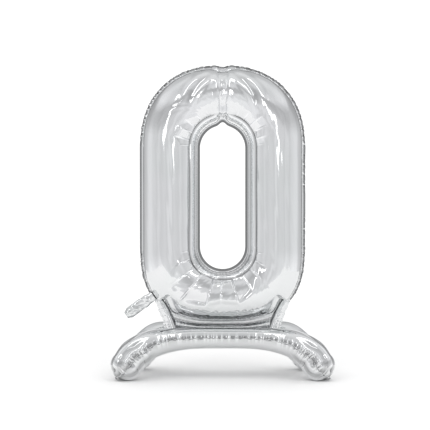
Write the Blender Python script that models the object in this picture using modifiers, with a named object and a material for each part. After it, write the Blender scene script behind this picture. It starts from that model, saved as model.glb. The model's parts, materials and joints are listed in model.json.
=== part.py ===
"""Standing foil number balloon: an inflated zero on an inflated base with four drooping feet.

Every panel of film is its own thin shell. The zero is a front and a back panel, each base leg is a
top panel and a gusset panel, and the two legs and the zero meet at a flat weld that lets the zero lean.
Metres, +Z up, X across the zero, -Y towards the viewer of its front. The origin is on the floor.
"""

import math

import bmesh
import bpy
from mathutils import Matrix, Vector

# Film. The real film is about 0.04 mm thick; it is drawn thicker so that each panel is a solid.
FILM = 0.0005
WELD_GAP = 0.0004
LAYER_PITCH = FILM + WELD_GAP
SEAM_FACE = WELD_GAP / 2 + FILM

# Zero
NUMBER_HALF_WIDTH = 0.207
NUMBER_TOP = 0.774
NUMBER_BOTTOM = 0.131
HOLE_HALF_WIDTH = 0.0565
HOLE_TOP = 0.6235
HOLE_BOTTOM = 0.265
TUBE_HALF_DEPTH = 0.066
SEAM_WIDTH = 0.009
NECK_SEAM_WIDTH = 0.004
TOP_SQUARENESS = 2.3
BOTTOM_SQUARENESS = 2.7

# Neck: the weld under the zero, and an air channel at each end of it
HINGE_HEIGHT = 0.128
HINGE_GAP = 0.0006
NECK_WEB_HALF_ANGLE = 31.0
BASE_WEB_HALF_WIDTH = 0.126
BASE_WEB_BOTTOM = 0.103
NOTCH_DEPTH = 0.020
NOTCH_FADE_ANGLE = 14.0
NECK_HALF_ANGLE = 49.0
NECK_CORNER_ANGLE = 3.0
CHANNEL_RADIUS = 0.007
RIGHT_CHANNEL = (
    (0.1520, 0.1745),
    (0.1468, 0.1670),
    (0.1400, 0.1570),
    (0.1310, 0.1440),
    (0.1245, 0.1335),
)

# Filling tail and valve sleeve, at the lower left of the zero's outer seam
TAIL_ANGLE = 215.5
TAIL_LENGTH = 0.066
TAIL_WIDTH = 0.030
TAIL_CORNER = 0.006
SLEEVE_WIDTH = 0.022
SLEEVE_INSIDE = 0.070
SLEEVE_OUTSIDE = 0.052
SLOT_HALF_DEPTH = 0.0012

# Legs: the right half of each spine, from the middle outwards, as seen from the front
FRONT_SPINE = (
    (0.0, -0.0382, 0.0965),
    (0.095, -0.0430, 0.0950),
    (0.170, -0.0560, 0.0850),
    (0.212, -0.0720, 0.0620),
    (0.233, -0.0870, 0.0360),
)
REAR_SPINE = (
    (0.0, 0.0382, 0.0965),
    (0.095, 0.0430, 0.0965),
    (0.160, 0.0560, 0.0930),
    (0.192, 0.0690, 0.0660),
    (0.216, 0.0850, 0.0355),
)
LEG_HALF_HEIGHT = (0.0260, 0.0270, 0.0340, 0.0380, 0.0380)
LEG_HALF_DEPTH = (0.0310, 0.0320, 0.0400, 0.0430, 0.0380)
LEG_SEAM_WIDTH = 0.006
LEG_SEAM_DROOP = 0.25

# Faceting
SIDE_STEPS = 5
ARC_STEPS = 22
TUBE_STEPS = 8
NECK_WEB_STEPS = 12
LEG_SPINE_STEPS = 20
LEG_CAP_STEPS = 8
LEG_DOME_STEPS = 6

TOP_CENTRE = Vector((0.0, 0.0, HOLE_TOP - HOLE_HALF_WIDTH))
BOTTOM_CENTRE = Vector((0.0, 0.0, HOLE_BOTTOM + HOLE_HALF_WIDTH))
FRONT, BACK = -1, 1


def clear_scene():
    for obj in list(bpy.data.objects):
        bpy.data.objects.remove(obj, do_unlink=True)


def new_collection(name):
    collection = bpy.data.collections.new(name)
    bpy.context.scene.collection.children.link(collection)
    return collection


def principled(name, colour, roughness, metallic):
    material = bpy.data.materials.new(name)
    material.use_nodes = True
    shader = material.node_tree.nodes["Principled BSDF"]
    shader.inputs["Base Color"].default_value = (*colour, 1.0)
    shader.inputs["Roughness"].default_value = roughness
    shader.inputs["Metallic"].default_value = metallic
    return material


def add_object(name, mesh, collection, material):
    mesh.materials.append(material)
    obj = bpy.data.objects.new(name, mesh)
    collection.objects.link(obj)
    return obj


def shell_from_grid(name, rows, closed, outward, collection, material):
    """A film panel: rows of points on its outer face, thickened inwards. outward is a point outside it."""
    bm = bmesh.new()
    grid = [[bm.verts.new(point) for point in row] for row in rows]
    count = len(grid)
    for i in range(count if closed else count - 1):
        near, far = grid[i], grid[(i + 1) % count]
        for j in range(len(near) - 1):
            bm.faces.new((near[j], near[j + 1], far[j + 1], far[j]))
    bmesh.ops.remove_doubles(bm, verts=bm.verts[:], dist=0.00002)
    bmesh.ops.dissolve_degenerate(bm, edges=bm.edges[:], dist=0.00002)
    bmesh.ops.recalc_face_normals(bm, faces=bm.faces[:])
    nearest = min(bm.faces, key=lambda face: (face.calc_center_median() - outward).length)
    if nearest.normal.dot(outward - nearest.calc_center_median()) < 0:
        bmesh.ops.reverse_faces(bm, faces=bm.faces[:])
    mesh = bpy.data.meshes.new(name)
    bm.to_mesh(mesh)
    bm.free()
    obj = add_object(name, mesh, collection, material)
    mesh.shade_smooth()
    mesh.set_sharp_from_angle(angle=math.radians(40))
    film = obj.modifiers.new("Film", "SOLIDIFY")
    film.thickness = FILM
    film.offset = -1.0
    return obj


# ---------------------------------------------------------------- zero


def superellipse_radius(angle, half_width, height, squareness):
    across = abs(math.cos(angle) / half_width) ** squareness
    up = abs(math.sin(angle) / height) ** squareness
    return (across + up) ** (-1 / squareness)


def outside_neck(angle):
    """0 along the neck weld under the zero and 1 outside it, with a short change between."""
    from_bottom = abs(math.degrees(angle) - 270)
    share = (from_bottom - NECK_HALF_ANGLE) / NECK_CORNER_ANGLE + 0.5
    return min(1.0, max(0.0, share))


def notch(angle):
    """How far the outline steps in where the neck weld starts. It fades out towards the middle."""
    from_bottom = abs(math.degrees(angle) - 270)
    share = (from_bottom - NECK_HALF_ANGLE) / NOTCH_FADE_ANGLE + 1
    share = min(1.0, max(0.0, share))
    return NOTCH_DEPTH * share * share * (3 - 2 * share) * (1 - outside_neck(angle))


def arc_ray(angle):
    """(hole edge, outer edge, outer seam width) on the ray at this angle, in radians, from +X."""
    direction = Vector((math.cos(angle), 0.0, math.sin(angle)))
    if math.sin(angle) > 0:
        centre = TOP_CENTRE
        height, squareness = NUMBER_TOP - TOP_CENTRE.z, TOP_SQUARENESS
    else:
        centre = BOTTOM_CENTRE
        height, squareness = BOTTOM_CENTRE.z - NUMBER_BOTTOM, BOTTOM_SQUARENESS
    outer = superellipse_radius(angle, NUMBER_HALF_WIDTH, height, squareness) - notch(angle)
    return (
        centre + direction * HOLE_HALF_WIDTH,
        centre + direction * outer,
        NECK_SEAM_WIDTH + (SEAM_WIDTH - NECK_SEAM_WIDTH) * outside_neck(angle),
    )


def side_ray(side, height):
    return (
        Vector((side * HOLE_HALF_WIDTH, 0.0, height)),
        Vector((side * NUMBER_HALF_WIDTH, 0.0, height)),
        SEAM_WIDTH,
    )


def bottom_angles():
    """Even steps round the bottom arc, with exact rays where the outline steps in to the neck weld."""
    clear = 2.5
    half_step = NECK_CORNER_ANGLE / 2
    turns = (NECK_HALF_ANGLE - half_step, NECK_HALF_ANGLE + half_step)
    corners = [270 + side * turn for side in (-1, 1) for turn in turns]
    even = [180 + 180 * i / ARC_STEPS for i in range(1, ARC_STEPS)]
    kept = [angle for angle in even if min(abs(angle - corner) for corner in corners) > clear]
    return sorted(kept + corners)


def number_rays():
    """Once round the zero: right side up, over the top, left side down, and round the bottom."""
    low, high = BOTTOM_CENTRE.z, TOP_CENTRE.z
    steps = [i / SIDE_STEPS for i in range(SIDE_STEPS)]
    rays = [side_ray(1, low + (high - low) * step) for step in steps]
    rays += [arc_ray(math.pi * i / ARC_STEPS) for i in range(1, ARC_STEPS)]
    rays += [side_ray(-1, high - (high - low) * step) for step in steps]
    rays.append(side_ray(-1, low))
    rays += [arc_ray(math.radians(angle)) for angle in bottom_angles()]
    return rays


def tube_section(inner, outer, outer_seam, side):
    """Half the tube's section: a seam lip, half an ellipse and the other seam lip."""
    across = (outer - inner).normalized()
    start = inner + across * SEAM_WIDTH
    end = outer - across * outer_seam
    half = (end - start).length / 2
    depth = min(half, TUBE_HALF_DEPTH)
    middle = (start + end) / 2
    lip = Vector((0.0, side * SEAM_FACE, 0.0))
    points = [inner + lip]
    for i in range(TUBE_STEPS + 1):
        angle = math.pi * i / TUBE_STEPS
        rise = Vector((0.0, side * depth * math.sin(angle), 0.0))
        points.append(middle - across * half * math.cos(angle) + rise + lip)
    points.append(outer + lip)
    return points


def number_panel(name, side, collection, material):
    rows = [tube_section(*ray, side) for ray in number_rays()]
    outward = Vector((NUMBER_HALF_WIDTH / 2, side * 1.0, BOTTOM_CENTRE.z + 0.1))
    return shell_from_grid(name, rows, True, outward, collection, material)


# ---------------------------------------------------------------- neck


def contour_offset(angle, beyond):
    """A point this far outside the zero's tube, on the ray at this angle."""
    inner, outer, seam = arc_ray(angle)
    across = (outer - inner).normalized()
    return outer - across * (seam - beyond)


def air_channel(name, side, collection, material):
    """A short film tube, open at both ends, from the zero's lower corner down to the hinge line."""
    data = bpy.data.curves.new(name, "CURVE")
    data.dimensions = "3D"
    data.bevel_depth = CHANNEL_RADIUS
    data.bevel_resolution = 2
    spline = data.splines.new("POLY")
    spline.points.add(len(RIGHT_CHANNEL) - 1)
    for point, (x, z) in zip(spline.points, RIGHT_CHANNEL):
        point.co = (side * x, 0.0, z, 1.0)
    data.materials.append(material)
    channel = bpy.data.objects.new(name, data)
    collection.objects.link(channel)
    film = channel.modifiers.new("Film", "SOLIDIFY")
    film.thickness = FILM
    film.offset = -1.0
    return channel


def flat_plate(name, outline, collection, material):
    """A film plate in the XZ plane, centred on Y = 0, from its outline of (x, z) points."""
    data = bpy.data.curves.new(name, "CURVE")
    data.dimensions = "2D"
    data.fill_mode = "BOTH"
    data.extrude = LAYER_PITCH / 2
    spline = data.splines.new("POLY")
    spline.points.add(len(outline) - 1)
    for point, (x, z) in zip(spline.points, outline):
        point.co = (x, z, 0.0, 1.0)
    spline.use_cyclic_u = True
    data.materials.append(material)
    plate = bpy.data.objects.new(name, data)
    plate.rotation_euler = (math.pi / 2, 0.0, 0.0)
    collection.objects.link(plate)
    return plate


def neck_weld(collection, material):
    """The welded web between the bottom of the zero's seam and the hinge line."""
    low = HINGE_HEIGHT + HINGE_GAP
    top = []
    for i in range(NECK_WEB_STEPS + 1):
        turn = NECK_WEB_HALF_ANGLE * (2 * i / NECK_WEB_STEPS - 1)
        point = contour_offset(math.radians(270 + turn), NECK_SEAM_WIDTH + HINGE_GAP)
        top.append((point.x, point.z))
    outline = [(top[0][0], low), *top, (top[-1][0], low)]
    return flat_plate("neck_weld_web", outline, collection, material)


def base_web(collection, material):
    """The fold of the gusset film that stands up between the two legs, under the hinge line."""
    high = HINGE_HEIGHT - HINGE_GAP
    wide = BASE_WEB_HALF_WIDTH
    outline = [(-wide, BASE_WEB_BOTTOM), (-wide, high), (wide, high), (wide, BASE_WEB_BOTTOM)]
    return flat_plate("gusset_fold_web", outline, collection, material)


# ---------------------------------------------------------------- filling tail and valve


def tail_frame():
    """(root on the outer seam's edge, direction outwards) of the filling tail."""
    inner, outer, _ = arc_ray(math.radians(TAIL_ANGLE))
    return outer, (outer - inner).normalized()


def box_on_tail(name, start, end, thickness, width, y):
    """A box along the tail's direction, between these two distances from the root."""
    root, direction = tail_frame()
    bpy.ops.mesh.primitive_cube_add(size=1.0)
    box = bpy.context.active_object
    box.name = name
    box.data.name = name
    box.data.transform(Matrix.Diagonal((end - start, thickness, width, 1.0)))
    box.location = root + direction * (start + end) / 2
    box.location.y = y
    box.rotation_euler = (0.0, -math.atan2(direction.z, direction.x), 0.0)
    for owner in list(box.users_collection):
        owner.objects.unlink(box)
    return box


def tail_film(name, start, end, width, layer, collection, material):
    """One film of the tail or its sleeve, with the corners of its far end rounded."""
    film = box_on_tail(name, start, end, FILM, width, layer * LAYER_PITCH)
    collection.objects.link(film)
    film.data.materials.append(material)
    weights = film.data.attributes.new("bevel_weight_edge", "FLOAT", "EDGE")
    for edge in film.data.edges:
        first, second = (film.data.vertices[index].co for index in edge.vertices)
        runs_through = abs(first.y - second.y) > FILM / 2
        weights.data[edge.index].value = 1.0 if runs_through and first.x > 0 else 0.0
    corners = film.modifiers.new("Corners", "BEVEL")
    corners.limit_method = "WEIGHT"
    corners.width = TAIL_CORNER
    corners.segments = 2
    return film


def cut_valve_slot(panels, cutters):
    """The slot through the outer seam where the valve sleeve passes."""
    clear = 0.001
    width = SLEEVE_WIDTH + 3 * clear
    inside = -SEAM_WIDTH - 4 * clear
    slot = box_on_tail("valve_slot_cutter", inside, clear, 2 * SLOT_HALF_DEPTH, width, 0.0)
    slot.hide_render = True
    slot.display_type = "WIRE"
    cutters.objects.link(slot)
    for panel in panels:
        cut = panel.modifiers.new("Valve slot", "BOOLEAN")
        cut.operation = "DIFFERENCE"
        cut.solver = "EXACT"
        cut.object = slot


# ---------------------------------------------------------------- legs


def catmull_rom(values, position):
    """A smooth value between the items of a list; position runs from 0 to the last index."""
    last = len(values) - 1
    i = min(int(position), last - 1)
    t = position - i
    before = values[i - 1] if i else values[0] * 2 - values[1]
    after = values[i + 2] if i + 2 <= last else values[last] * 2 - values[last - 1]
    a, b = values[i], values[i + 1]
    return 0.5 * (
        2 * a
        + (b - before) * t
        + (2 * before - 5 * a + 4 * b - after) * t * t
        + (3 * a - before - 3 * b + after) * t * t * t
    )


class Leg:
    """One leg's pillow: a spine that droops to a foot at each end, with its seam at front and back."""

    def __init__(self, half_spine, side):
        right = [Vector(point) for point in half_spine]
        left = [Vector((-p.x, p.y, p.z)) for p in reversed(right[1:])]
        self.spine = left + right
        self.last = len(self.spine) - 1
        self.height = self.mirrored(LEG_HALF_HEIGHT)
        self.depth = self.mirrored(LEG_HALF_DEPTH)
        self.seam_towards = Vector((0.0, side, -LEG_SEAM_DROOP))

    @staticmethod
    def mirrored(half):
        return list(reversed(half[1:])) + list(half)

    def frame(self, position):
        """(point, along, towards the outer seam, up out of the top panel) on the spine."""
        step = 0.01
        low = max(0.0, position - step)
        high = min(self.last, position + step)
        along = (catmull_rom(self.spine, high) - catmull_rom(self.spine, low)).normalized()
        towards = (self.seam_towards - along * self.seam_towards.dot(along)).normalized()
        up = along.cross(towards)
        if up.dot(Vector((position - self.last / 2, 0.0, 2.0))) < 0:
            up.negate()
        return catmull_rom(self.spine, position), along, towards, up

    def stations(self):
        """Once round the pillow: (spine position, direction across, direction along) as unit parts."""
        steps = [self.last * i / LEG_SPINE_STEPS for i in range(LEG_SPINE_STEPS + 1)]
        turns = [math.pi * i / LEG_CAP_STEPS for i in range(1, LEG_CAP_STEPS)]
        found = [(position, 1.0, 0.0) for position in steps]
        found += [(self.last, math.cos(turn), math.sin(turn)) for turn in turns]
        found += [(position, -1.0, 0.0) for position in reversed(steps)]
        found += [(0.0, -math.cos(turn), -math.sin(turn)) for turn in turns]
        return found

    def row(self, station, side):
        """From the spine out over the dome to the seam's edge."""
        position, across, forwards = station
        point, along, towards, up = self.frame(position)
        height = catmull_rom(self.height, position)
        reach = catmull_rom(self.depth, position)
        heading = towards * across + along * forwards
        lip = up * side * SEAM_FACE
        points = []
        for i in range(LEG_DOME_STEPS + 1):
            angle = math.pi / 2 * i / LEG_DOME_STEPS
            dome = heading * reach * math.sin(angle) + up * side * height * math.cos(angle)
            points.append(point + dome + lip)
        points.append(point + heading * (reach + LEG_SEAM_WIDTH) + lip)
        return points

    def panel(self, name, side, collection, material):
        rows = [self.row(station, side) for station in self.stations()]
        if side < 0:
            for row in rows:
                for point in row:
                    point.z = max(point.z, 0.0)
        middle = self.spine[len(self.spine) // 2]
        outward = middle + Vector((0.0, 0.0, side * 1.0))
        return shell_from_grid(name, rows, True, outward, collection, material)


# ---------------------------------------------------------------- assembly


def joint_axis(name, place, collection):
    """An empty on a joint's axis, for the pieces that turn about it."""
    empty = bpy.data.objects.new(name, None)
    empty.empty_display_size = 0.03
    empty.location = place
    collection.objects.link(empty)
    return empty


def attach(pieces, parent):
    """Parents the pieces without moving them."""
    bpy.context.view_layer.update()
    for piece in pieces:
        piece.parent = parent
        piece.matrix_parent_inverse = parent.matrix_world.inverted()


def build_number(balloon, cutters, foil, sleeve):
    panels = [
        number_panel("number_front_panel", FRONT, balloon, foil),
        number_panel("number_back_panel", BACK, balloon, foil),
    ]
    cut_valve_slot(panels, cutters)
    pieces = [
        *panels,
        neck_weld(balloon, foil),
        air_channel("left_air_channel", -1, balloon, foil),
        air_channel("right_air_channel", 1, balloon, foil),
    ]
    for word, layer in (("front", -0.5), ("back", 0.5)):
        name = f"valve_inner_{word}_film"
        pieces.append(tail_film(name, -SLEEVE_INSIDE, 0.0, SLEEVE_WIDTH, layer, balloon, sleeve))
    lean = joint_axis("number_lean_axis", (0.0, 0.0, HINGE_HEIGHT), balloon)
    attach(pieces, lean)
    return lean


def build_tail(balloon, foil, sleeve):
    pieces = []
    for word, layer in (("front", -0.5), ("back", 0.5)):
        mouth = f"valve_mouth_{word}_film"
        pieces.append(tail_film(mouth, HINGE_GAP, SLEEVE_OUTSIDE, SLEEVE_WIDTH, layer, balloon, sleeve))
        tail = f"tail_{word}_film"
        pieces.append(tail_film(tail, HINGE_GAP, TAIL_LENGTH, TAIL_WIDTH, 3 * layer, balloon, foil))
    fold = joint_axis("tail_fold_axis", tail_frame()[0], balloon)
    attach(pieces, fold)
    return fold


def build_base(balloon, foil):
    base_web(balloon, foil)
    for word, spine, side in (("front", FRONT_SPINE, FRONT), ("rear", REAR_SPINE, BACK)):
        leg = Leg(spine, side)
        leg.panel(f"{word}_leg_top_panel", 1, balloon, foil)
        leg.panel(f"{word}_leg_gusset_panel", -1, balloon, foil)


def main():
    clear_scene()
    balloon = new_collection("standing_zero_balloon")
    cutters = new_collection("cutters")
    foil = principled("silver_foil", (0.78, 0.78, 0.79), 0.12, 1.0)
    sleeve = principled("valve_film", (0.85, 0.86, 0.87), 0.35, 0.0)

    build_base(balloon, foil)
    lean = build_number(balloon, cutters, foil, sleeve)
    fold = build_tail(balloon, foil, sleeve)
    attach([fold], lean)


main()
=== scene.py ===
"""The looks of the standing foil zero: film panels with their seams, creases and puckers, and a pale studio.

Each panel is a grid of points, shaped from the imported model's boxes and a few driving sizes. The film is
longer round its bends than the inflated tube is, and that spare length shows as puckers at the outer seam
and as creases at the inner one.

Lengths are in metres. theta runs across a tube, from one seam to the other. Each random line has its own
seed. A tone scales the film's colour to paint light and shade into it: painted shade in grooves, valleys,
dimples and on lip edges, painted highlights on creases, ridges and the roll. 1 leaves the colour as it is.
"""

import json
import math
from types import SimpleNamespace

import bpy
import numpy as np
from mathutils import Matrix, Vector


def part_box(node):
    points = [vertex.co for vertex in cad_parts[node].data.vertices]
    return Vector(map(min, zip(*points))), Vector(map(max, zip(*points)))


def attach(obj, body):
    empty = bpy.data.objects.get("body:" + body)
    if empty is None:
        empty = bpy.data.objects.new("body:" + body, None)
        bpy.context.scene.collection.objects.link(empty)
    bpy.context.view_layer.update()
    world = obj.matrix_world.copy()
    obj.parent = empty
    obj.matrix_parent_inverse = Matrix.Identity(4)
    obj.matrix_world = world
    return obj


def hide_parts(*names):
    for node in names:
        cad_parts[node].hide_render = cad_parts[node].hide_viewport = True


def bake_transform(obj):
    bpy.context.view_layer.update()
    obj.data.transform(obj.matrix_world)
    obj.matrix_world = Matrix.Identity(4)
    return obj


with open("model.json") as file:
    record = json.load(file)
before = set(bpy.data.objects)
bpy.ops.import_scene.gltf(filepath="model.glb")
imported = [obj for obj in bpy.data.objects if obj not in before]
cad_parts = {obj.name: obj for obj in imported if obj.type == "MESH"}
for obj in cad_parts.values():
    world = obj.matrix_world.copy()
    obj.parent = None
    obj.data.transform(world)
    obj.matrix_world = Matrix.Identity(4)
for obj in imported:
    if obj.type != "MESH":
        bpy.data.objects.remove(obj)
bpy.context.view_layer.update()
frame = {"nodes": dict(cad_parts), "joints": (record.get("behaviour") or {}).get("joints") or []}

Y_AXIS = np.array([0.0, 1.0, 0.0])

# Joints
TAIL_ROOT = Vector(next(j for j in frame["joints"] if j["name"] == "tail_fold")["pos_m"])

# Zero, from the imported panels
LOW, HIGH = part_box("number_front_panel")
HALF_WIDTH = HIGH.x
TOP, BOTTOM = HIGH.z, LOW.z
TUBE_DEPTH = -LOW.y
TUBE_RADIUS = 0.066
HOLE_HALF_WIDTH = 0.0565
HOLE_TOP = 0.6235
HOLE_BOTTOM = 0.265
TOP_CENTRE = HOLE_TOP - HOLE_HALF_WIDTH
BOTTOM_CENTRE = HOLE_BOTTOM + HOLE_HALF_WIDTH
TOP_SQUARENESS = 2.3
BOTTOM_SQUARENESS = 2.7
SEAM = 0.0085

# The zero's grid
ARC_COLUMNS = 440
SIDE_COLUMNS = 120
DOME_ROWS = 128
FLANGE_ROWS = 5
LIP_GAP = 0.00025

# Neck weld under the zero, and the notch in the rim beside each end of it
NECK_SEAM = 0.004
NECK_HALF_ANGLE = 49.0
NECK_CORNER_ANGLE = 3.0
NOTCH_DEPTH = 0.020
NOTCH_FADE_ANGLE = 14.0
NOTCH_THETA = 1.75

# Puckers at the zero's outer seam: short beads, and wider puffs behind them
PUCKER_LENGTH = 0.0125
PUCKER_SPREAD = 0.45
PUCKER_HEIGHT = 0.0022
PUCKER_REACH = 0.0055
PUFF_LENGTH = PUCKER_LENGTH * 2.3
PUFF_HEIGHT = 0.0009
PUFF_REACH = 0.016
PLEAT = 0.0016
LIP_PULL = 0.0022
# Crinkled stretches of the right side: height of the middle, and half of the length
CRINKLED = ((0.505, 0.03), (0.34, 0.04))
CRINKLE_FADE = 0.03
CRINKLE_SHARE = 0.55
PLAIN_SHARE = 0.04

# The roll round the hole, the groove outside it, and a painted dark line of shade along the roll
GROOVE = 0.69
GROOVE_DEPTH = 0.0038
GROOVE_WIDTH = 0.055
GROOVE_SWAY = 0.02
ROLL_HEIGHT = 0.0026
# Where across the tube the painted dark line of shade lies, and how wide it is
ROLL_SHADE_LINE = 0.44
ROLL_SHADE_LINE_WIDTH = 0.045
TUCK_LENGTH = 0.0065
TUCK_HEIGHT = 0.0009

# The kink over the top: how far it pulls each rim in, over what angle, and its creases and folds
KINK_RADIUS = 0.13
HOLE_PEAK = 0.008
HOLE_PEAK_ANGLE = 0.16
RIM_DIP = 0.004
RIM_DIP_ANGLE = 0.05
KINK_HALF_WIDTH = 0.0085
KINK_SINK = 0.0045
KINK_SINK_WIDTH = 0.020
KINK_CREASE = 0.0022
KINK_CREASE_WIDTH = 0.0030
CRUMPLE_HEIGHT = 0.00025
SHOULDER_FOLD = 0.0013
SHOULDER_FOLD_SLANT = 42
SHOULDER_FOLD_PITCH = 19

# Facets on the inner half of each bend: the crease's angle round the bend's centre, how far across the tube
# it reaches, and how high and how tilted the film is there
BOTTOM_FACETS = (
    (186, 1.15, 0.0, 0.0),
    (200, 1.45, 0.5, 0.7),
    (216, 1.95, -0.9, -0.4),
    (231, 2.05, 0.7, -1.0),
    (254, 1.95, -1.0, 0.9),
    (268, 1.80, 0.8, 0.8),
    (286, 1.88, 0.2, -1.0),
    (305, 1.50, -1.0, 0.3),
    (321, 1.40, 0.6, -0.5),
    (337, 1.30, -0.5, 0.3),
    (352, 1.10, 0.0, 0.0),
)
TOP_FACETS = (
    (4, 1.10, 0.0, 0.0),
    (15, 1.25, 0.6, 0.5),
    (27, 1.35, -0.5, -0.6),
    (39, 1.40, 0.5, 0.5),
    (53, 1.20, -0.6, -0.4),
    (66, 1.05, 0.2, 0.0),
    (114, 1.05, 0.0, 0.0),
    (129, 1.15, 0.4, 0.4),
    (143, 1.30, -0.5, -0.6),
    (155, 1.40, 0.7, 0.6),
    (167, 1.45, -0.7, -0.5),
    (177, 1.20, 0.0, 0.0),
)
FACET_FLATNESS = 0.85
FACET_LIFT = 0.0022
FACET_TILT = 0.12
FACET_RIDGE = 0.0007

# Base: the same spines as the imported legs, from the middle to the right foot
FRONT_SPINE = (
    (0.0, -0.0382, 0.0965),
    (0.095, -0.0430, 0.0950),
    (0.170, -0.0560, 0.0850),
    (0.212, -0.0720, 0.0620),
    (0.233, -0.0870, 0.0360),
)
REAR_SPINE = (
    (0.0, 0.0382, 0.0965),
    (0.095, 0.0430, 0.0965),
    (0.160, 0.0560, 0.0930),
    (0.192, 0.0690, 0.0660),
    (0.216, 0.0850, 0.0355),
)
LEG_HALF_HEIGHT = (0.0260, 0.0270, 0.0340, 0.0380, 0.0380)
LEG_HALF_DEPTH = (0.0310, 0.0320, 0.0400, 0.0430, 0.0380)
LEG_SEAM = 0.006
# The seam's slope away from level, in the middle and at the ends
LEG_SEAM_DROOP = (-0.10, 0.20)
LEG_COLUMNS = 340
CAP_COLUMNS = 90
LEG_ROWS = 44
LEG_EDGE_RADIUS = 0.034
LEG_FOLD_RADIUS = 0.036
LEG_PUCKER_LENGTH = 0.0095
LEG_PUCKER_HEIGHT = 0.0030
LEG_PUFF_LENGTH = 0.022
LEG_PUFF_HEIGHT = 0.0014
LEG_FOLD_HEIGHT = 0.0026
LEG_FOLD_PITCH = 0.030
LEG_DIMPLE = 0.0050
LEG_PLEAT = 0.0014
FLOOR_GAP = 0.0002

# Film at the neck
NECK_HALF_WIDTH = 0.130
NECK_FOOT = 0.100
NECK_COLUMNS = 420
NECK_ROWS = 48
NECK_ROLLS = 2.2
NECK_ROLL_HEIGHT = 0.0024
NECK_SPREAD = 0.012

# Right air channel, from the top down: X and Z of its middle, and its radius
CHANNEL = (
    (0.1610, 0.2020, 0.0050),
    (0.1560, 0.1860, 0.0085),
    (0.1480, 0.1700, 0.0105),
    (0.1400, 0.1530, 0.0118),
    (0.1330, 0.1370, 0.0130),
    (0.1280, 0.1210, 0.0145),
    (0.1250, 0.1050, 0.0160),
)
CHANNEL_LENGTH = 0.105
CHANNEL_COLUMNS = 120
CHANNEL_ROWS = 72
CHANNEL_DEPTH = 1.25
CHANNEL_FIN = 0.0040

# Filling tail
TAIL_HALF_WIDTH = 0.0142
TAIL_PUFF = 0.0042
TAIL_OVERLAP = 0.006
TAIL_LENGTH_SHARE = 0.86
TAIL_COLUMNS = 90
TAIL_ROWS = 50

# The room's grey in reflections, from 0 behind the camera to 1 behind the balloon
ROOM_TONES = (
    (0.0, 0.90),
    (0.005, 0.74),
    (0.03, 0.80),
    (0.10, 0.74),
    (0.16, 0.84),
    (0.24, 0.74),
    (0.36, 0.82),
    (0.50, 0.90),
    (0.62, 0.86),
    (0.72, 0.70),
    (0.84, 0.62),
    (0.93, 0.46),
    (0.96, 0.95),
    (1.0, 1.1),
)
# and how that changes from 0, straight down, to 1, straight up
HEIGHT_TONES = (
    (0.0, 1.28),
    (0.38, 1.24),
    (0.47, 1.0),
    (0.57, 1.0),
    (0.65, 0.74),
    (0.72, 0.70),
    (0.80, 1.08),
    (0.90, 0.95),
    (1.0, 0.74),
)
BACKDROP_LIGHT = 1.15
FLOOR_SIZE = 2.4
FLOOR_GREY = 0.93

# Lights: name, place, width, height and power
LIGHTS = (
    ("left_strip", (-1.06, -2.1, 1.08), 0.26, 0.8, 1.2),
    ("right_strip", (0.62, -2.3, 0.95), 0.22, 0.8, 1.0),
    ("left_overhead", (-0.75, -1.1, 2.3), 0.22, 1.6, 2.0),
    ("right_overhead", (0.75, -1.1, 2.3), 0.22, 1.6, 2.0),
)
LIGHTS_AIM = (0.0, 0.0, 0.4)

CAMERA_PLACE = (-0.019, -3.0, 0.47)
CAMERA_AIM = (-0.019, 0.0, 0.400)
CAMERA_LENS = 100.5


# ---------------------------------------------------------------- helpers on arrays


def smooth(low, high, x):
    t = np.clip((x - low) / (high - low), 0, 1)
    return t * t * (3 - 2 * t)


def bump(x, centre, width):
    return np.exp(-(((x - centre) / width) ** 2))


def wander(t, length, seed):
    """A smooth random line through -1 to 1, changing over about this length."""
    knot_count = 4096
    knots = np.random.default_rng(seed).uniform(-1, 1, knot_count)
    place = np.abs(t / length) + 7
    i = place.astype(int)
    f = place - i
    f = f * f * (3 - 2 * f)
    return knots[i % knot_count] * (1 - f) + knots[(i + 1) % knot_count] * f


def looped(along, shift, length, seed):
    """A smooth random line along a ring that joins up with itself where the ring closes."""
    total = along[-1]
    fade = smooth(total - 0.08, total, along)
    back = wander(along - total + shift, length, seed)
    return wander(along + shift, length, seed) * (1 - fade) + back * fade


def cells(t, mean, spread, seed):
    """Splits the line t into uneven cells: (cell number, place in the cell from 0 to 1)."""
    random = np.random.default_rng(seed)
    low, high = float(np.min(t)), float(np.max(t))
    count = int((high - low) / mean) + 3
    edges = low + np.cumsum(mean * (1 + spread * random.uniform(-1, 1, count + 8))) - 2 * mean
    index = np.clip(np.searchsorted(edges, t) - 1, 0, len(edges) - 2)
    place = (t - edges[index]) / (edges[index + 1] - edges[index])
    return index, np.clip(place, 0, 1)


def puffs(t, mean, spread, seed):
    """Rounded puffs with sharp valleys between them, from 0 to 1."""
    index, place = cells(t, mean, spread, seed)
    height = 0.7 + 0.3 * np.random.default_rng(seed + 1).uniform(-1, 1, index.max() + 2)[index]
    return height * np.sqrt(np.clip(np.sin(np.pi * place), 0, 1))


def pleats(t, mean, spread, seed):
    """A zigzag through -1 to 1 that turns at the same cells as puffs."""
    index, place = cells(t, mean, spread, seed)
    return np.where(index % 2 == 0, 1, -1) * np.sin(np.pi * place)


def unit(a):
    return a / np.maximum(np.linalg.norm(a, axis=-1, keepdims=True), 1e-9)


def seam_length(points):
    """How far along a closed line of points each one is."""
    step = np.linalg.norm(np.roll(points, -1, 0) - points, axis=1)
    return np.concatenate([[0], np.cumsum(step)[:-1]])


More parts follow.
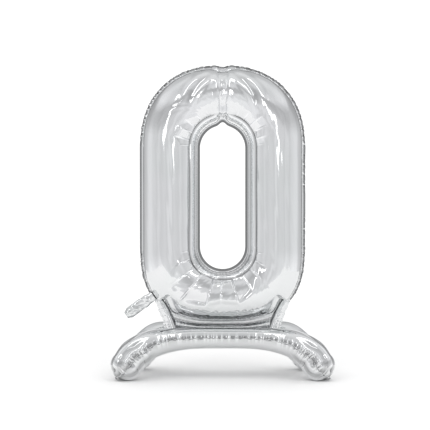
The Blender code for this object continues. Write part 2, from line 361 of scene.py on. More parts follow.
def curve_through_all(values, samples):
    """A smooth curve through these values; samples run from 0 to the last index."""
    last = len(values) - 1
    padded = np.concatenate([[2 * values[0] - values[1]], values, [2 * values[-1] - values[-2]]])
    i = np.minimum(samples.astype(int), last - 1)
    t = (samples - i)[:, None]
    p0, p1, p2, p3 = padded[i], padded[i + 1], padded[i + 2], padded[i + 3]
    square = (2 * p0 - 5 * p1 + 4 * p2 - p3) * t * t
    cube = (3 * p1 - p0 - 3 * p2 + p3) * t**3
    return 0.5 * (2 * p1 + (p2 - p0) * t + square + cube)


def curve_through(half, samples):
    """A smooth mirrored curve through the points of its right half."""
    right = np.array(half, float).reshape(len(half), -1)
    left = right[::-1][:-1].copy()
    if right.shape[1] == 3:
        left[:, 0] *= -1
    return curve_through_all(np.concatenate([left, right]), samples)


def grid_object(name, points, closed, outward, material, tone=None):
    """A mesh from a grid of points, its faces turned to outward. closed joins the last row to the first."""
    rows, columns = points.shape[:2]
    index = np.arange(rows * columns).reshape(rows, columns)
    if closed:
        index = np.concatenate([index, index[:1]])
    a, b = index[:-1, :-1].ravel(), index[1:, :-1].ravel()
    c, d = index[1:, 1:].ravel(), index[:-1, 1:].ravel()
    faces = np.stack([a, b, c, d], 1)
    flat = points.reshape(-1, 3)
    middle = faces[len(faces) // 2]
    normal = np.cross(flat[middle[1]] - flat[middle[0]], flat[middle[3]] - flat[middle[0]])
    if normal @ outward.reshape(-1, 3)[middle[0]] < 0:
        faces = faces[:, ::-1]
    mesh = bpy.data.meshes.new(name)
    mesh.vertices.add(len(flat))
    mesh.vertices.foreach_set("co", flat.astype(np.float32).ravel())
    mesh.loops.add(faces.size)
    mesh.loops.foreach_set("vertex_index", faces.astype(np.int32).ravel())
    mesh.polygons.add(len(faces))
    mesh.polygons.foreach_set("loop_start", np.arange(0, faces.size, 4, dtype=np.int32))
    mesh.update(calc_edges=True)
    mesh.validate()
    mesh.shade_smooth()
    # The tone is stored per point: painted light and shade that scales the film's colour
    shade = mesh.attributes.new("painted_light_and_shade", "FLOAT", "POINT")
    values = np.ones(len(flat)) if tone is None else tone.ravel()
    shade.data.foreach_set("value", values.astype(np.float32))
    mesh.materials.append(material)
    obj = bpy.data.objects.new(name, mesh)
    bpy.context.scene.collection.objects.link(obj)
    return obj


# ---------------------------------------------------------------- materials


def noise(nodes, links, place, scale, detail):
    texture = nodes.new("ShaderNodeTexNoise")
    texture.inputs["Scale"].default_value = scale
    texture.inputs["Detail"].default_value = detail
    links.new(place.outputs["Object"], texture.inputs["Vector"])
    return texture.outputs["Fac"]


def foil_material(name, colour, roughness, crinkle):
    """Metallised film: near-mirror metal with slow colour drift and a fine crinkle."""
    material = bpy.data.materials.new(name)
    material.use_nodes = True
    nodes, links = material.node_tree.nodes, material.node_tree.links
    shader = nodes["Principled BSDF"]
    shader.inputs["Metallic"].default_value = 1.0
    place = nodes.new("ShaderNodeTexCoord")

    drift = noise(nodes, links, place, 9.0, 2.0)
    tint = nodes.new("ShaderNodeValToRGB")
    tint.color_ramp.elements[0].position = 0.35
    tint.color_ramp.elements[0].color = (colour[0] * 0.97, colour[1] * 0.985, colour[2] * 0.975, 1)
    tint.color_ramp.elements[1].position = 0.65
    tint.color_ramp.elements[1].color = (*colour, 1)
    links.new(drift, tint.inputs["Fac"])
    # The mesh's per-point tone, painted light and shade, scales the colour
    tone = nodes.new("ShaderNodeAttribute")
    tone.attribute_name = "painted_light_and_shade"
    shaded = nodes.new("ShaderNodeVectorMath")
    shaded.operation = "SCALE"
    links.new(tint.outputs["Color"], shaded.inputs["Vector"])
    links.new(tone.outputs["Fac"], shaded.inputs["Scale"])
    links.new(shaded.outputs["Vector"], shader.inputs["Base Color"])

    haze = noise(nodes, links, place, 40.0, 3.0)
    rough = nodes.new("ShaderNodeMapRange")
    rough.inputs["To Min"].default_value = roughness * 0.7
    rough.inputs["To Max"].default_value = roughness * 1.3
    links.new(haze, rough.inputs["Value"])
    links.new(rough.outputs["Result"], shader.inputs["Roughness"])

    fine = noise(nodes, links, place, 120.0, 2.0)
    relief = nodes.new("ShaderNodeBump")
    relief.inputs["Strength"].default_value = crinkle
    relief.inputs["Distance"].default_value = 0.0004
    links.new(fine, relief.inputs["Height"])
    links.new(relief.outputs["Normal"], shader.inputs["Normal"])
    return material


def sleeve_material():
    """Hazy valve film, a very pale blue-grey with a faint gloss."""
    material = foil_material("valve_film_look", (0.86, 0.87, 0.88), 0.3, 0.3)
    shader = material.node_tree.nodes["Principled BSDF"]
    shader.inputs["Metallic"].default_value = 0.0
    shader.inputs["Coat Weight"].default_value = 0.4
    return material


# ---------------------------------------------------------------- zero


def ring_columns():
    """Once round the zero: (angle from the arc's centre, height of that centre) for each column."""
    arc = np.linspace(0, np.pi, ARC_COLUMNS, endpoint=False)
    step = np.linspace(0, 1, SIDE_COLUMNS, endpoint=False)
    length = TOP_CENTRE - BOTTOM_CENTRE
    angle = [np.zeros(SIDE_COLUMNS), arc, np.full(SIDE_COLUMNS, np.pi), arc + np.pi]
    centre = [
        BOTTOM_CENTRE + length * step,
        np.full(ARC_COLUMNS, TOP_CENTRE),
        TOP_CENTRE - length * step,
        np.full(ARC_COLUMNS, BOTTOM_CENTRE),
    ]
    return np.concatenate(angle), np.concatenate(centre)


def outside_neck(angle):
    """0 along the neck weld under the zero and 1 outside it."""
    from_bottom = np.abs(np.degrees(angle) - 270)
    half_step = NECK_CORNER_ANGLE / 2
    return smooth(NECK_HALF_ANGLE - half_step, NECK_HALF_ANGLE + half_step, from_bottom)


def ring_edges(angle, centre):
    """(inner edge, outer edge) of each column, as arrays of points."""
    top = np.sin(angle) > 0
    height = np.where(top, TOP - TOP_CENTRE, BOTTOM_CENTRE - BOTTOM)
    squareness = np.where(top, TOP_SQUARENESS, BOTTOM_SQUARENESS)
    across = np.abs(np.cos(angle) / HALF_WIDTH) ** squareness
    up = np.abs(np.sin(angle) / height) ** squareness
    outer = (across + up) ** (-1 / squareness)
    inner = HOLE_HALF_WIDTH + HOLE_PEAK * np.where(top, bump(angle, np.pi / 2, HOLE_PEAK_ANGLE), 0)
    outer = outer - RIM_DIP * np.where(top, bump(angle, np.pi / 2, RIM_DIP_ANGLE), 0)
    direction = np.stack([np.cos(angle), np.zeros_like(angle), np.sin(angle)], 1)
    middle = np.stack([np.zeros_like(angle), np.zeros_like(angle), centre], 1)
    return middle + direction * inner[:, None], middle + direction * outer[:, None]


def rim_notch(angle):
    """How far the zero's rim steps in beside each end of the neck weld."""
    from_bottom = np.abs(np.degrees(angle) - 270)
    notch = smooth(NECK_HALF_ANGLE - NOTCH_FADE_ANGLE, NECK_HALF_ANGLE, from_bottom)
    return NOTCH_DEPTH * notch * (1 - outside_neck(angle))


def zero_ring():
    """What each column round the zero needs to know about itself."""
    angle, centre = ring_columns()
    inner, outer = ring_edges(angle, centre)
    degrees = np.degrees(angle)
    on_top = np.sin(angle) > 1e-6
    at_neck = 1 - outside_neck(angle)
    from_kink = np.abs(degrees - 90) * np.pi / 180 * KINK_RADIUS
    return SimpleNamespace(
        angle=angle,
        degrees=degrees,
        inner=inner,
        outer=outer,
        across=unit(outer - inner),
        on_top=on_top,
        on_bottom=np.sin(angle) < -1e-6,
        bend=np.abs(np.sin(angle)) ** 0.5,
        at_neck=at_neck,
        seam=SEAM + (NECK_SEAM - SEAM) * at_neck,
        along=seam_length(outer),
        inner_along=seam_length(inner),
        from_kink=np.where(on_top, from_kink, 1.0),
    )


def tube_angles():
    """The angles across the tube, closer together at the groove and at both seams."""
    fine = np.linspace(0, np.pi, 2000)
    weight = 1 + 3.5 * bump(fine, GROOVE, 0.13) + 2.0 * bump(fine, 0, 0.15) + 2.5 * bump(fine, np.pi, 0.18)
    run = np.cumsum(weight) - weight[0]
    return np.interp(np.linspace(0, run[-1], DOME_ROWS), run, fine)


def half_tube(ring, theta, side):
    """The plain inflated half tube: (points, normals, where the film meets the outer weld)."""
    start = ring.inner + ring.across * SEAM
    end = ring.outer - ring.across * ring.seam[:, None]
    half = np.linalg.norm(end - start, axis=1) / 2
    depth = np.minimum(half, TUBE_DEPTH)
    middle = (start + end) / 2
    points = middle[:, None] - ring.across[:, None] * (half[:, None] * np.cos(theta))[..., None]
    points = points + Y_AXIS * side * (depth[:, None] * np.sin(theta))[..., None]
    notch = rim_notch(ring.angle)
    pulled_in = notch[:, None] * smooth(NOTCH_THETA, np.pi, theta)[None, :]
    points = points - ring.across[:, None] * pulled_in[..., None]
    normal = unit(
        -ring.across[:, None] * np.cos(theta)[None, :, None] + Y_AXIS * side * np.sin(theta)[None, :, None]
    )
    return points, normal, end - ring.across * notch[:, None]


def facets(ring, theta, points, normal, table):
    """Flattens the inner half of a bend between creases: (points, how much of each is crease)."""
    angles, reaches, levels, pitches = np.array(table, float).T
    inside = (ring.degrees > angles[0]) & (ring.degrees < angles[-1])
    i = np.clip(np.searchsorted(angles, ring.degrees) - 1, 0, len(angles) - 2)
    place = np.clip((ring.degrees - angles[i]) / (angles[i + 1] - angles[i]), 0, 1)
    from_crease = np.minimum(place, 1 - place)
    columns = np.array([np.argmin(np.abs(ring.degrees - angle)) for angle in angles])
    chord = points[columns[i]] * (1 - place)[:, None, None] + points[columns[i + 1]] * place[:, None, None]
    reach = reaches[i] * (1 - place) + reaches[i + 1] * place
    start = smooth(GROOVE + 0.02, GROOVE + 0.14, theta)[None, :]
    part = start * smooth(0.0, 0.22, reach[:, None] - theta[None, :]) * inside[:, None]
    level = levels[i] * (1 - place) + levels[i + 1] * place
    pitch = pitches[i] * smooth(0, 0.10, from_crease)
    lean = (theta[None, :] - (GROOVE + reach[:, None]) / 2) * TUBE_RADIUS
    lift = FACET_LIFT * level[:, None] + FACET_TILT * pitch[:, None] * lean
    nearest = from_crease * (angles[i + 1] - angles[i])
    ridge = bump(nearest[:, None] * (0.4 + 0.6 * theta[None, :]), 0, 1) * part
    points = points + (chord - points) * (FACET_FLATNESS * part)[..., None]
    points = points + normal * (lift * part + FACET_RIDGE * ridge)[..., None]
    return points, ridge


def both_bends(ring, theta, points, normal, tone):
    """The facets of the bottom bend and of the top one. Their creases are painted lighter, a painted
    highlight.
    """
    shaped, ridge = facets(ring, theta, points, normal, BOTTOM_FACETS)
    points = np.where(ring.on_bottom[:, None, None], shaped, points)
    # Painted highlight along the creases, here and for the top bend below
    tone = tone + 0.18 * ridge * ring.on_bottom[:, None]
    shaped, ridge = facets(ring, theta, points, normal, TOP_FACETS)
    points = np.where(ring.on_top[:, None, None], shaped, points)
    tone = tone + 0.15 * ridge * ring.on_top[:, None]
    return points, tone


def roll_round_hole(ring, theta, points, normal, tone):
    """The groove all round the hole, and the gathered roll between it and the seam. The groove and the gaps
    between the tucks get painted shade, and the roll gets a painted highlight with a painted dark line of
    shade along it.
    """
    sway = GROOVE + GROOVE_SWAY * wander(ring.inner_along, 0.05, 32)
    groove = bump(theta[None, :], sway[:, None], GROOVE_WIDTH)
    groove = groove * smooth(0.0, 0.06, ring.from_kink)[:, None]
    roll = np.sin(np.pi * np.clip(theta / GROOVE, 0, 1)) ** 2
    tucks = puffs(ring.inner_along, TUCK_LENGTH, PUCKER_SPREAD, 31) - 0.6
    tuck_part = (TUCK_HEIGHT * tucks * smooth(0.15, 0.6, ring.bend))[:, None] * roll[None, :]
    lift = tuck_part + ROLL_HEIGHT * roll[None, :] - GROOVE_DEPTH * groove
    points = points + normal * lift[..., None]
    # Gaps between the tucks, which get painted shade below
    gathered = (tucks < -0.25) * smooth(0.3, 0.7, ring.bend)
    # Painted shade in the groove and between the tucks, painted highlight on the roll
    tone = tone - 0.75 * groove - 0.20 * roll * gathered[:, None] + 0.22 * (theta < GROOVE)[None, :]
    # A painted dark line of shade along the roll
    tone = tone - 0.50 * bump(theta, ROLL_SHADE_LINE, ROLL_SHADE_LINE_WIDTH)[None, :]
    return points, tone


def rim_beads(ring):
    """How strongly each column's outer seam is puckered: at both bends, and on parts of the right side."""
    height = ring.outer[:, 2]
    crinkled = sum(smooth(CRINKLE_FADE, 0.0, np.abs(height - middle) - reach) for middle, reach in CRINKLED)
    beads = smooth(0.10, 0.40, ring.bend) * (1 - ring.at_neck)
    beads = np.maximum(beads, CRINKLE_SHARE * crinkled * (ring.across[:, 0] > 0.9))
    return np.maximum(beads, PLAIN_SHARE * (1 - ring.at_neck))


def rim_puckers(ring, theta, beads, small, points, normal, tone):
    """Short beads at the outer seam, with wider puffs behind them. The gaps between the beads get painted
    shade.
    """
    edge = (np.pi - theta) * TUBE_RADIUS
    large = puffs(ring.along, PUFF_LENGTH, 0.4, 22)
    near = np.exp(-edge / PUCKER_REACH) * smooth(0, 0.002, edge)
    far = np.exp(-edge / PUFF_REACH) * smooth(0, 0.006, edge)
    lift = PUCKER_HEIGHT * (small - 0.6)[:, None] * near[None, :]
    lift = lift + PUFF_HEIGHT * (large - 0.6)[:, None] * far[None, :]
    points = points + normal * (lift * beads[:, None])[..., None]
    # Painted shade in the gaps between the beads
    tone = tone - 0.35 * (beads * (small < 0.3))[:, None] * near[None, :]
    return points, tone


def kink(ring, theta, points, normal):
    """The kink over the top: two creases with crumpled film between them."""
    on_kink = np.where(ring.on_top, 1.0, 0.0)
    wobble = 0.0015 * wander(theta * TUBE_RADIUS, 0.02, 35)
    off_crease = ring.from_kink[:, None] - (KINK_HALF_WIDTH + wobble)[None, :]
    crease = bump(off_crease, 0, KINK_CREASE_WIDTH) * on_kink[:, None]
    dip = bump(ring.from_kink, 0, KINK_SINK_WIDTH) * on_kink
    strip = smooth(KINK_HALF_WIDTH, 0.004, ring.from_kink) * on_kink
    signed = (ring.degrees - 90) * np.pi / 180 * KINK_RADIUS
    crumple = wander(theta[None, :] * TUBE_RADIUS + 0.8 * signed[:, None], 0.006, 36) * strip[:, None]
    shape = 0.30 + 0.70 * np.abs(np.cos(theta)) ** 1.5
    sink = KINK_SINK * dip[:, None] * shape[None, :] + KINK_CREASE * crease
    return points - normal * (sink - CRUMPLE_HEIGHT * crumple)[..., None]


def shoulder_folds(ring, theta, points, normal, tone):
    """Folds that run out of the kink's outer end, slanting over the shoulders. Their valleys get painted
    shade.
    """
    away = np.abs(ring.degrees - 90)[:, None]
    slant = away - SHOULDER_FOLD_SLANT * np.cos(theta)[None, :]
    fold = np.cos(2 * np.pi * (slant - 50) / SHOULDER_FOLD_PITCH)
    part = smooth(5, 14, away) * smooth(46, 30, away) * smooth(20, 30, slant) * smooth(64, 54, slant)
    part = part * ring.on_top[:, None] * np.sin(theta)[None, :] ** 0.5
    points = points + normal * (SHOULDER_FOLD * fold * part)[..., None]
    # Painted shade in the fold valleys
    tone = tone - 0.22 * np.clip(-fold, 0, 1) * part
    return points, tone


def slow_waves(ring, theta, points, normal):
    """Slow waves and fine streaks that bend the reflections along the whole tube."""
    wave = looped(ring.along[:, None], 0 * theta, 0.11, 41) * 0.0007
    wave = wave + looped(ring.along[:, None], 0.35 * theta[None, :], 0.045, 42) * 0.00025
    girth = (theta * TUBE_RADIUS)[None, :] + 0.0015 * looped(ring.along, 0.0, 0.20, 44)[:, None]
    girth = girth + 0.15 * ring.across[:, :1]
    wave = wave + 0.00024 * wander(girth, 0.0080, 45) + 0.00010 * wander(girth, 0.0035, 47)
    return points + normal * (wave * np.sin(theta)[None, :])[..., None]


def outer_lips(ring, end, beads, small, side):
    """Rows of the welded lip outside the zero, pleated where the seam is puckered: (points, tones). The
    tones are painted shade: darker towards the lip's outer edge and in the pleat gaps.
    """
    zigzag = pleats(ring.along, PUCKER_LENGTH, PUCKER_SPREAD, 21)
    lips, tones = [], []
    for step in np.linspace(0, 1, FLANGE_ROWS + 1)[1:]:
        sway = (PLEAT * zigzag * beads * step)[:, None] * Y_AXIS
        pull = (-LIP_PULL * (1 - small) * beads * step)[:, None] * ring.across
        lip = end + ring.across * (ring.seam * step)[:, None] + pull + sway
        lips.append(lip + Y_AXIS * side * LIP_GAP)
        # Painted shade: darker towards the outer edge and in the pleat gaps
        tones.append(1.05 - 0.70 * smooth(0.10, 0.60, step) - 0.25 * beads * (small < 0.35))
    return np.stack(lips, 1), np.stack(tones, 1)


def inner_lips(ring, side):
    """Rows of the welded lip round the hole: (points, tones). The lip is painted dark towards the hole, as
    painted shade, and lighter where it meets the tube.
    """
    lips, tones = [], []
    for step in np.linspace(0, 1, FLANGE_ROWS + 1)[:-1]:
        lips.append(ring.inner + ring.across * SEAM * step + Y_AXIS * side * LIP_GAP)
        # Painted shade towards the hole, lighter towards the tube
        tones.append(np.full(len(ring.inner), 0.28 + 0.80 * smooth(0.55, 1.0, step)))
    return np.stack(lips, 1), np.stack(tones, 1)


def number_skin(side, material):
    """The front (side -1) or back (side 1) panel of the zero."""
    ring = zero_ring()
    theta = tube_angles()
    points, normal, end = half_tube(ring, theta, side)
    tone = np.ones(points.shape[:2])
    points, tone = both_bends(ring, theta, points, normal, tone)
    points, tone = roll_round_hole(ring, theta, points, normal, tone)
    beads = rim_beads(ring)
    small = puffs(ring.along, PUCKER_LENGTH, PUCKER_SPREAD, 21)
    points, tone = rim_puckers(ring, theta, beads, small, points, normal, tone)
    points = kink(ring, theta, points, normal)
    points, tone = shoulder_folds(ring, theta, points, normal, tone)
    points = slow_waves(ring, theta, points, normal)

    inside, inside_tone = inner_lips(ring, side)
    outside, outside_tone = outer_lips(ring, end, beads, small, side)
    whole = np.concatenate([inside, points, outside], 1)
    whole[:, : FLANGE_ROWS + 1, 1] = side * LIP_GAP
    tone = np.concatenate([inside_tone, tone, outside_tone], 1)
    outward = np.broadcast_to(Y_AXIS * side, whole.shape)
    name = "number_front_skin" if side < 0 else "number_back_skin"
    node = "number_front_panel" if side < 0 else "number_back_panel"
    skin = grid_object(name, whole, True, outward, material, np.clip(tone, 0.2, 1.22))
    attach(skin, "number")
    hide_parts(node)


# ---------------------------------------------------------------- base legs


def leg_layout(half_spine, facing):
    """Once round a leg's seam: the spine beside each column, and the ways up and out from it."""
    last = 2 * (len(half_spine) - 1)
    run = np.linspace(0, last, LEG_COLUMNS)
    turn = np.linspace(0, np.pi, CAP_COLUMNS + 2)[1:-1]
    place = np.concatenate([run, np.full(CAP_COLUMNS, last), run[::-1], np.zeros(CAP_COLUMNS)])
    ahead = np.concatenate([np.ones(LEG_COLUMNS), np.cos(turn), -np.ones(LEG_COLUMNS), -np.cos(turn)])
    forward = np.concatenate([np.zeros(LEG_COLUMNS), np.sin(turn), np.zeros(LEG_COLUMNS), -np.sin(turn)])
    spine = curve_through(half_spine, place)
    tangent = unit(
        curve_through(half_spine, np.minimum(place + 0.02, last))
        - curve_through(half_spine, np.maximum(place - 0.02, 0))
    )
    reach = curve_through(LEG_HALF_DEPTH, place)
    outwards = np.abs(place / last * 2 - 1)
    droop = LEG_SEAM_DROOP[0] + (LEG_SEAM_DROOP[1] - LEG_SEAM_DROOP[0]) * smooth(0.3, 0.8, outwards)
    seam_way = np.stack([0 * droop, facing + 0 * droop, -droop], 1)
    towards = unit(seam_way - tangent * (tangent * seam_way).sum(1)[:, None])
    up = np.cross(tangent, towards)
    heading = towards * ahead[:, None] + tangent * forward[:, None]
    return SimpleNamespace(
        ahead=ahead,
        forward=forward,
        spine=spine,
        height=curve_through(LEG_HALF_HEIGHT, place),
        reach=reach,
        outwards=outwards,
        up=up * np.sign(up[:, 2:3] + 1e-6),
        heading=heading,
        along=seam_length(spine + heading * (reach + LEG_SEAM)),
    )


def leg_puckers(leg, theta, side, small, points, normal):
    """The gathered film at the leg's seam, which is stronger on the top panel: (points, tone). The gaps
    between the puckers get painted shade.
    """
    edge = (np.pi / 2 - theta) * LEG_EDGE_RADIUS
    large = puffs(leg.along, LEG_PUFF_LENGTH, 0.4, 52)
    strength = 1.0 if side > 0 else 0.45
    near = bump(edge, 0, 0.010) * smooth(0, 0.002, edge)
    far = np.exp(-edge / 0.014) * smooth(0, 0.005, edge)
    lift = LEG_PUCKER_HEIGHT * strength * (small - 0.6)[:, None] * near[None, :]
    lift = lift + LEG_PUFF_HEIGHT * (large - 0.6)[:, None] * far
    # Painted shade in the gaps between the puckers
    tone = 1 - 0.60 * strength * (small < 0.62)[:, None] * near[None, :]
    return points + normal * lift[..., None], tone


def leg_folds(leg, theta, side, points, normal, tone):
    """Long folds that run down each end of the leg and meet in a dimple at its tip. The fold valleys and the
    dimple get painted shade, the fold ridges a painted highlight.
    """
    girth = theta[None, :] * LEG_FOLD_RADIUS * leg.ahead[:, None]
    part = smooth(0.45, 0.80, leg.outwards)[:, None] * np.cos(theta)[None, :] ** 0.5
    fold = np.cos(2 * np.pi * (girth + 0.006 + 0.010 * leg.outwards[:, None]) / LEG_FOLD_PITCH)
    points = points + normal * (LEG_FOLD_HEIGHT * fold * part)[..., None]
    # Painted shade in the fold valleys, painted highlight on the fold ridges
    tone = tone - 0.34 * smooth(0.1, -0.5, fold) * part + 0.15 * smooth(0.4, 0.9, fold) * part
    tip = smooth(0.80, 1.0, np.abs(leg.forward))[:, None] * (1 if side > 0 else 0)
    dimple = bump(theta[None, :], 1.05, 0.18) * tip
    points = points - normal * (LEG_DIMPLE * dimple)[..., None]
    # Painted shade in the dimple
    return points, tone - 0.45 * dimple


def underside_folds(leg, theta, points, normal):
    """The underside is the inner side of the leg's bend, so it folds across."""
    bent = smooth(0.5, 0.75, leg.outwards)
    place = cells(leg.spine[:, 0], 0.016, 0.35, 61)[1]
    fold = bump(np.minimum(place, 1 - place), 0, 0.16) * bent
    return points - normal * (0.0026 * fold[:, None] * np.cos(theta)[None, :] ** 0.5)[..., None]


def leg_lips(leg, side, small):
    """Rows of the leg's welded lip, pleated all round: (points, tones). The lip is painted darker towards
    its edge and at the pleat gaps, as painted shade.
    """
    zigzag = pleats(leg.along, LEG_PUCKER_LENGTH, PUCKER_SPREAD, 51)[:, None]
    lips, tones = [], []
    for step in np.linspace(0, 1, FLANGE_ROWS + 1)[1:]:
        # Painted shade: darker towards the edge and at the pleat gaps
        tones.append(1.0 - 0.5 * step**3 - 0.2 * (small < 0.4))
        lip = leg.spine + leg.heading * (leg.reach + (LEG_SEAM * step * (0.75 + 0.25 * small))[:, None])
        lips.append(lip + leg.up * (LEG_PLEAT * zigzag * step + side * LIP_GAP))
    return np.stack(lips, 1), np.stack(tones, 1)


def leg_skin(word, half_spine, facing, side, material):
    """The top (side 1) or gusset (side -1) panel of one leg."""
    leg = leg_layout(half_spine, facing)
    theta = np.linspace(0.0, np.pi / 2, LEG_ROWS)
    dome = leg.heading[:, None] * (leg.reach * np.sin(theta))[..., None]
    dome = dome + leg.up[:, None] * side * (leg.height * np.cos(theta))[..., None]
    points = leg.spine[:, None] + dome
    out_part = leg.heading[:, None] * np.sin(theta)[None, :, None]
    normal = unit(out_part + leg.up[:, None] * side * np.cos(theta)[None, :, None])

    small = puffs(leg.along, LEG_PUCKER_LENGTH, PUCKER_SPREAD, 51)
    points, tone = leg_puckers(leg, theta, side, small, points, normal)
    points, tone = leg_folds(leg, theta, side, points, normal, tone)
    if side < 0:
        points = underside_folds(leg, theta, points, normal)
    wave = wander(leg.along[:, None] + 0 * theta, 0.06, 71) * 0.0008 * np.sin(2 * theta)[None, :]
    points = points + normal * wave[..., None]

    lips, lip_tones = leg_lips(leg, side, small)
    whole = np.concatenate([points, lips], 1)
    whole[..., 2] = np.maximum(whole[..., 2], FLOOR_GAP)
    tone = np.clip(np.concatenate([tone, lip_tones], 1), 0.3, 1.2)
    outward = np.broadcast_to(leg.up[:, None] * side, whole.shape)
    half_name = "top" if side > 0 else "gusset"
    skin = grid_object(f"{word}_leg_{half_name}_skin", whole, True, outward, material, tone)
    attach(skin, "base")
    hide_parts(f"{word}_leg_{half_name}_panel")


# ---------------------------------------------------------------- neck and air channels


def neck_skin(material):
    """The gathered film between the zero's bottom seam and the base."""
    x = np.linspace(-NECK_HALF_WIDTH, NECK_HALF_WIDTH, NECK_COLUMNS)
    v = np.linspace(0, 1, NECK_ROWS)
    drop = (1 - np.abs(x / HALF_WIDTH) ** BOTTOM_SQUARENESS) ** (1 / BOTTOM_SQUARENESS)
    z_top = BOTTOM_CENTRE - (BOTTOM_CENTRE - BOTTOM) * drop + NECK_SEAM
    z = NECK_FOOT + (z_top[:, None] - NECK_FOOT) * v[None, :]
    gather = puffs(x, 0.009, 0.5, 81) - 0.5
    wide = puffs(x, 0.023, 0.5, 82) - 0.5
    shift = 0.10 * wander(x, 0.03, 83)
    rolls = np.sin(2 * np.pi * (NECK_ROLLS * v[None, :] + shift[:, None]))
    spread = NECK_SPREAD * (1 - v) ** 2 + 0.004 * np.sin(np.pi * v)
    bulge = NECK_ROLL_HEIGHT * rolls + 0.0009 * gather[:, None] + 0.0012 * wide[:, None] * (1 - v)[None, :]
    out = 0.0006 + spread[None, :] + bulge * np.sin(np.pi * v)[None, :]
    # Painted shade in the valleys of the rolls
    tone = 1.0 - 0.35 * (rolls < -0.55)
    parts = []
    for side in (-1, 1):
        points = np.stack([np.broadcast_to(x[:, None], out.shape), side * out, z], 2)
        outward = np.broadcast_to(Y_AXIS * side, points.shape)
        name = "neck_front_skin" if side < 0 else "neck_back_skin"
        parts.append(grid_object(name, points, False, outward, material, tone))
    for part in parts:
        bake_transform(part)
    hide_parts("neck_weld_web", "gusset_fold_web")


def channel_skin(side, material):
    """The puffed channel that leads air round the end of the neck weld and into the base. Its inner side
    gets painted shade.
    """
    t = np.linspace(0, 1, CHANNEL_COLUMNS)
    run = curve_through_all(np.array(CHANNEL), t * (len(CHANNEL) - 1))
    centre = np.stack([run[:, 0], 0 * t, run[:, 1]], 1)
    radius = run[:, 2]
    tangent = unit(np.gradient(centre, axis=0))
    across = np.stack([-tangent[:, 2], 0 * t, tangent[:, 0]], 1)
    along = t * CHANNEL_LENGTH
    turn = np.linspace(0, 2 * np.pi, CHANNEL_ROWS)
    ring = across[:, None] * np.cos(turn)[None, :, None]
    ring = ring + Y_AXIS * np.sin(turn)[None, :, None] * CHANNEL_DEPTH
    outer_side = (0.5 + 0.5 * np.cos(turn))[None, :] ** 2
    gather = (puffs(along, 0.011, 0.4, 91 + side) - 0.6)[:, None]
    slow = wander(along, 0.020, 95 + side)[:, None]
    size = radius[:, None] * (1 + 0.10 * gather * outer_side + 0.05 * slow)
    fin = CHANNEL_FIN * bump(np.minimum(turn, 2 * np.pi - turn), 0, 0.16)[None, :]
    size = size + fin * (1 + 0.6 * gather)
    points = centre[:, None] + ring * size[..., None]
    points[..., 0] *= side
    outward = ring.copy()
    outward[..., 0] *= side
    # Painted shade on the channel's inner side, towards the middle
    tone = 1.0 - 0.45 * bump(turn, np.pi, 0.75)[None, :] + 0 * size
    word = "left" if side < 0 else "right"
    skin = grid_object(f"{word}_channel_skin", points, False, outward, material, tone)
    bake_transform(skin)
    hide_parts(f"{word}_air_channel")


# ---------------------------------------------------------------- filling tail


def tail_skins(material):
    """The tail's two crumpled films, from the outer seam down and out to the left."""
    centre = Vector((0.0, 0.0, BOTTOM_CENTRE))
    direction = np.array((TAIL_ROOT - centre).normalized())
    sideways = np.array([-direction[2], 0.0, direction[0]])
    low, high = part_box("tail_front_film")
    length = math.hypot(high.x - low.x, high.z - low.z) * TAIL_LENGTH_SHARE
    down = np.linspace(-TAIL_OVERLAP, length, TAIL_COLUMNS)
    s, w = np.meshgrid(down, np.linspace(-1, 1, TAIL_ROWS), indexing="ij")
    t = np.clip(s / length, 0, 1)
    half = TAIL_HALF_WIDTH * (1 - 0.35 * smooth(0.78, 1.0, t) ** 2) * (0.85 + 0.15 * smooth(0, 0.3, t))
    bow = 0.0012 * wander(s, 0.014, 101) * smooth(0.80, 1.0, np.abs(w))
    full = np.sqrt(np.clip(1 - w**2, 0, 1))
    for side in (-1, 1):
        crumple = 0.0016 * wander(s + 0.5 * w * 0.014, 0.010, 103 + side)
        crumple = crumple + 0.0008 * wander(w * 0.020 + 0.4 * s, 0.006, 106 + side)
        out = bow + side * (0.0003 + full * (TAIL_PUFF + crumple * smooth(0, 0.15, t)))
        ragged = 0.0012 * wander(s, 0.006, 105) * np.abs(w)
        points = np.array(TAIL_ROOT) + direction * s[..., None]
        points = points + sideways * (w * half + ragged)[..., None] + Y_AXIS * out[..., None]
        outward = np.broadcast_to(Y_AXIS * side, points.shape)
        word = "front" if side < 0 else "back"
        skin = grid_object(f"tail_{word}_skin", points, False, outward, material)
        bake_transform(skin)
        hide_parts(f"tail_{word}_film")


# ---------------------------------------------------------------- studio


def light_panel(name, place, width, height, power):
    data = bpy.data.lights.new(name, "AREA")
    data.shape = "RECTANGLE"
    data.size, data.size_y = width, height
    data.energy = power
    lamp = bpy.data.objects.new(name, data)
    lamp.location = place
    lamp.rotation_euler = (Vector(LIGHTS_AIM) - Vector(place)).to_track_quat("-Z", "Y").to_euler()
    bpy.context.scene.collection.objects.link(lamp)


def tone_ramp(nodes, links, source, tones):
    """A grey that follows one part of the direction, which runs from -1 to 1."""
    place = nodes.new("ShaderNodeMapRange")
    place.inputs["From Min"].default_value = -1.0
    place.inputs["From Max"].default_value = 1.0
    links.new(source, place.inputs["Value"])
    shade = nodes.new("ShaderNodeValToRGB")
    ramp = shade.color_ramp
    for at, grey in tones:
        stop = ramp.elements.new(at)
        stop.color = (grey, grey * 1.003, grey * 1.010, 1)
    ramp.elements.remove(ramp.elements[0])
    ramp.elements.remove(ramp.elements[-1])
    links.new(place.outputs["Result"], shade.inputs["Fac"])
    return shade.outputs["Color"]


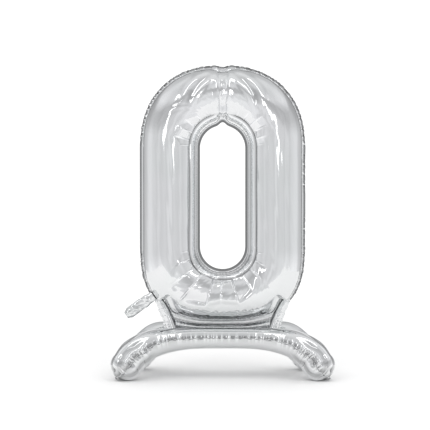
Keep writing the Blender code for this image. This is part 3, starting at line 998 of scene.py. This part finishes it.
def surroundings():
    """A white studio. In reflections it has the greys of a room."""
    world = bpy.data.worlds.new("studio")
    world.use_nodes = True
    nodes, links = world.node_tree.nodes, world.node_tree.links
    room = nodes["Background"]
    way = nodes.new("ShaderNodeTexCoord")
    parts = nodes.new("ShaderNodeSeparateXYZ")
    links.new(way.outputs["Generated"], parts.inputs["Vector"])
    depth_tone = tone_ramp(nodes, links, parts.outputs["Y"], ROOM_TONES)
    height_tone = tone_ramp(nodes, links, parts.outputs["Z"], HEIGHT_TONES)
    product = nodes.new("ShaderNodeVectorMath")
    product.operation = "MULTIPLY"
    links.new(depth_tone, product.inputs[0])
    links.new(height_tone, product.inputs[1])
    links.new(product.outputs["Vector"], room.inputs["Color"])
    room.inputs["Strength"].default_value = 1.0

    white = nodes.new("ShaderNodeBackground")
    white.inputs["Color"].default_value = (1.0, 1.0, 1.0, 1)
    white.inputs["Strength"].default_value = BACKDROP_LIGHT
    ray = nodes.new("ShaderNodeLightPath")
    plain = nodes.new("ShaderNodeMath")
    plain.operation = "MAXIMUM"
    links.new(ray.outputs["Is Camera Ray"], plain.inputs[0])
    links.new(ray.outputs["Is Diffuse Ray"], plain.inputs[1])
    mix = nodes.new("ShaderNodeMixShader")
    links.new(plain.outputs["Value"], mix.inputs["Fac"])
    links.new(room.outputs["Background"], mix.inputs[1])
    links.new(white.outputs["Background"], mix.inputs[2])
    links.new(mix.outputs["Shader"], nodes["World Output"].inputs["Surface"])
    bpy.context.scene.world = world


def pale_floor():
    bpy.ops.mesh.primitive_plane_add(size=FLOOR_SIZE, location=(0, 0, 0))
    floor = bpy.context.active_object
    floor.name = "floor"
    paint = bpy.data.materials.new("pale_floor")
    paint.use_nodes = True
    shader = paint.node_tree.nodes["Principled BSDF"]
    shader.inputs["Base Color"].default_value = (FLOOR_GREY, FLOOR_GREY, FLOOR_GREY, 1)
    shader.inputs["Roughness"].default_value = 0.9
    shader.inputs["Specular IOR Level"].default_value = 0.0
    floor.data.materials.append(paint)


def studio():
    surroundings()
    bpy.context.scene.view_settings.view_transform = "Standard"
    pale_floor()
    for light in LIGHTS:
        light_panel(*light)


def photographer():
    data = bpy.data.cameras.new("camera")
    data.lens = CAMERA_LENS
    data.sensor_width = 36.0
    camera = bpy.data.objects.new("camera", data)
    place, aim = Vector(CAMERA_PLACE), Vector(CAMERA_AIM)
    camera.location = place
    camera.rotation_euler = (aim - place).to_track_quat("-Z", "Y").to_euler()
    bpy.context.scene.collection.objects.link(camera)
    bpy.context.scene.camera = camera


# ---------------------------------------------------------------- build


def main():
    foil = foil_material("silver_foil_look", (0.80, 0.803, 0.812), 0.09, 0.06)
    creased = foil_material("creased_foil_look", (0.78, 0.785, 0.79), 0.12, 0.5)
    valve = sleeve_material()
    for side in (-1, 1):
        number_skin(side, foil)
        leg_skin("front", FRONT_SPINE, -1, side, foil)
        leg_skin("rear", REAR_SPINE, 1, side, foil)
        channel_skin(side, foil)
    neck_skin(creased)
    tail_skins(creased)
    for name, node in frame["nodes"].items():
        if name.startswith("valve_"):
            node.data.materials.clear()
            node.data.materials.append(valve)
    studio()
    photographer()


main()
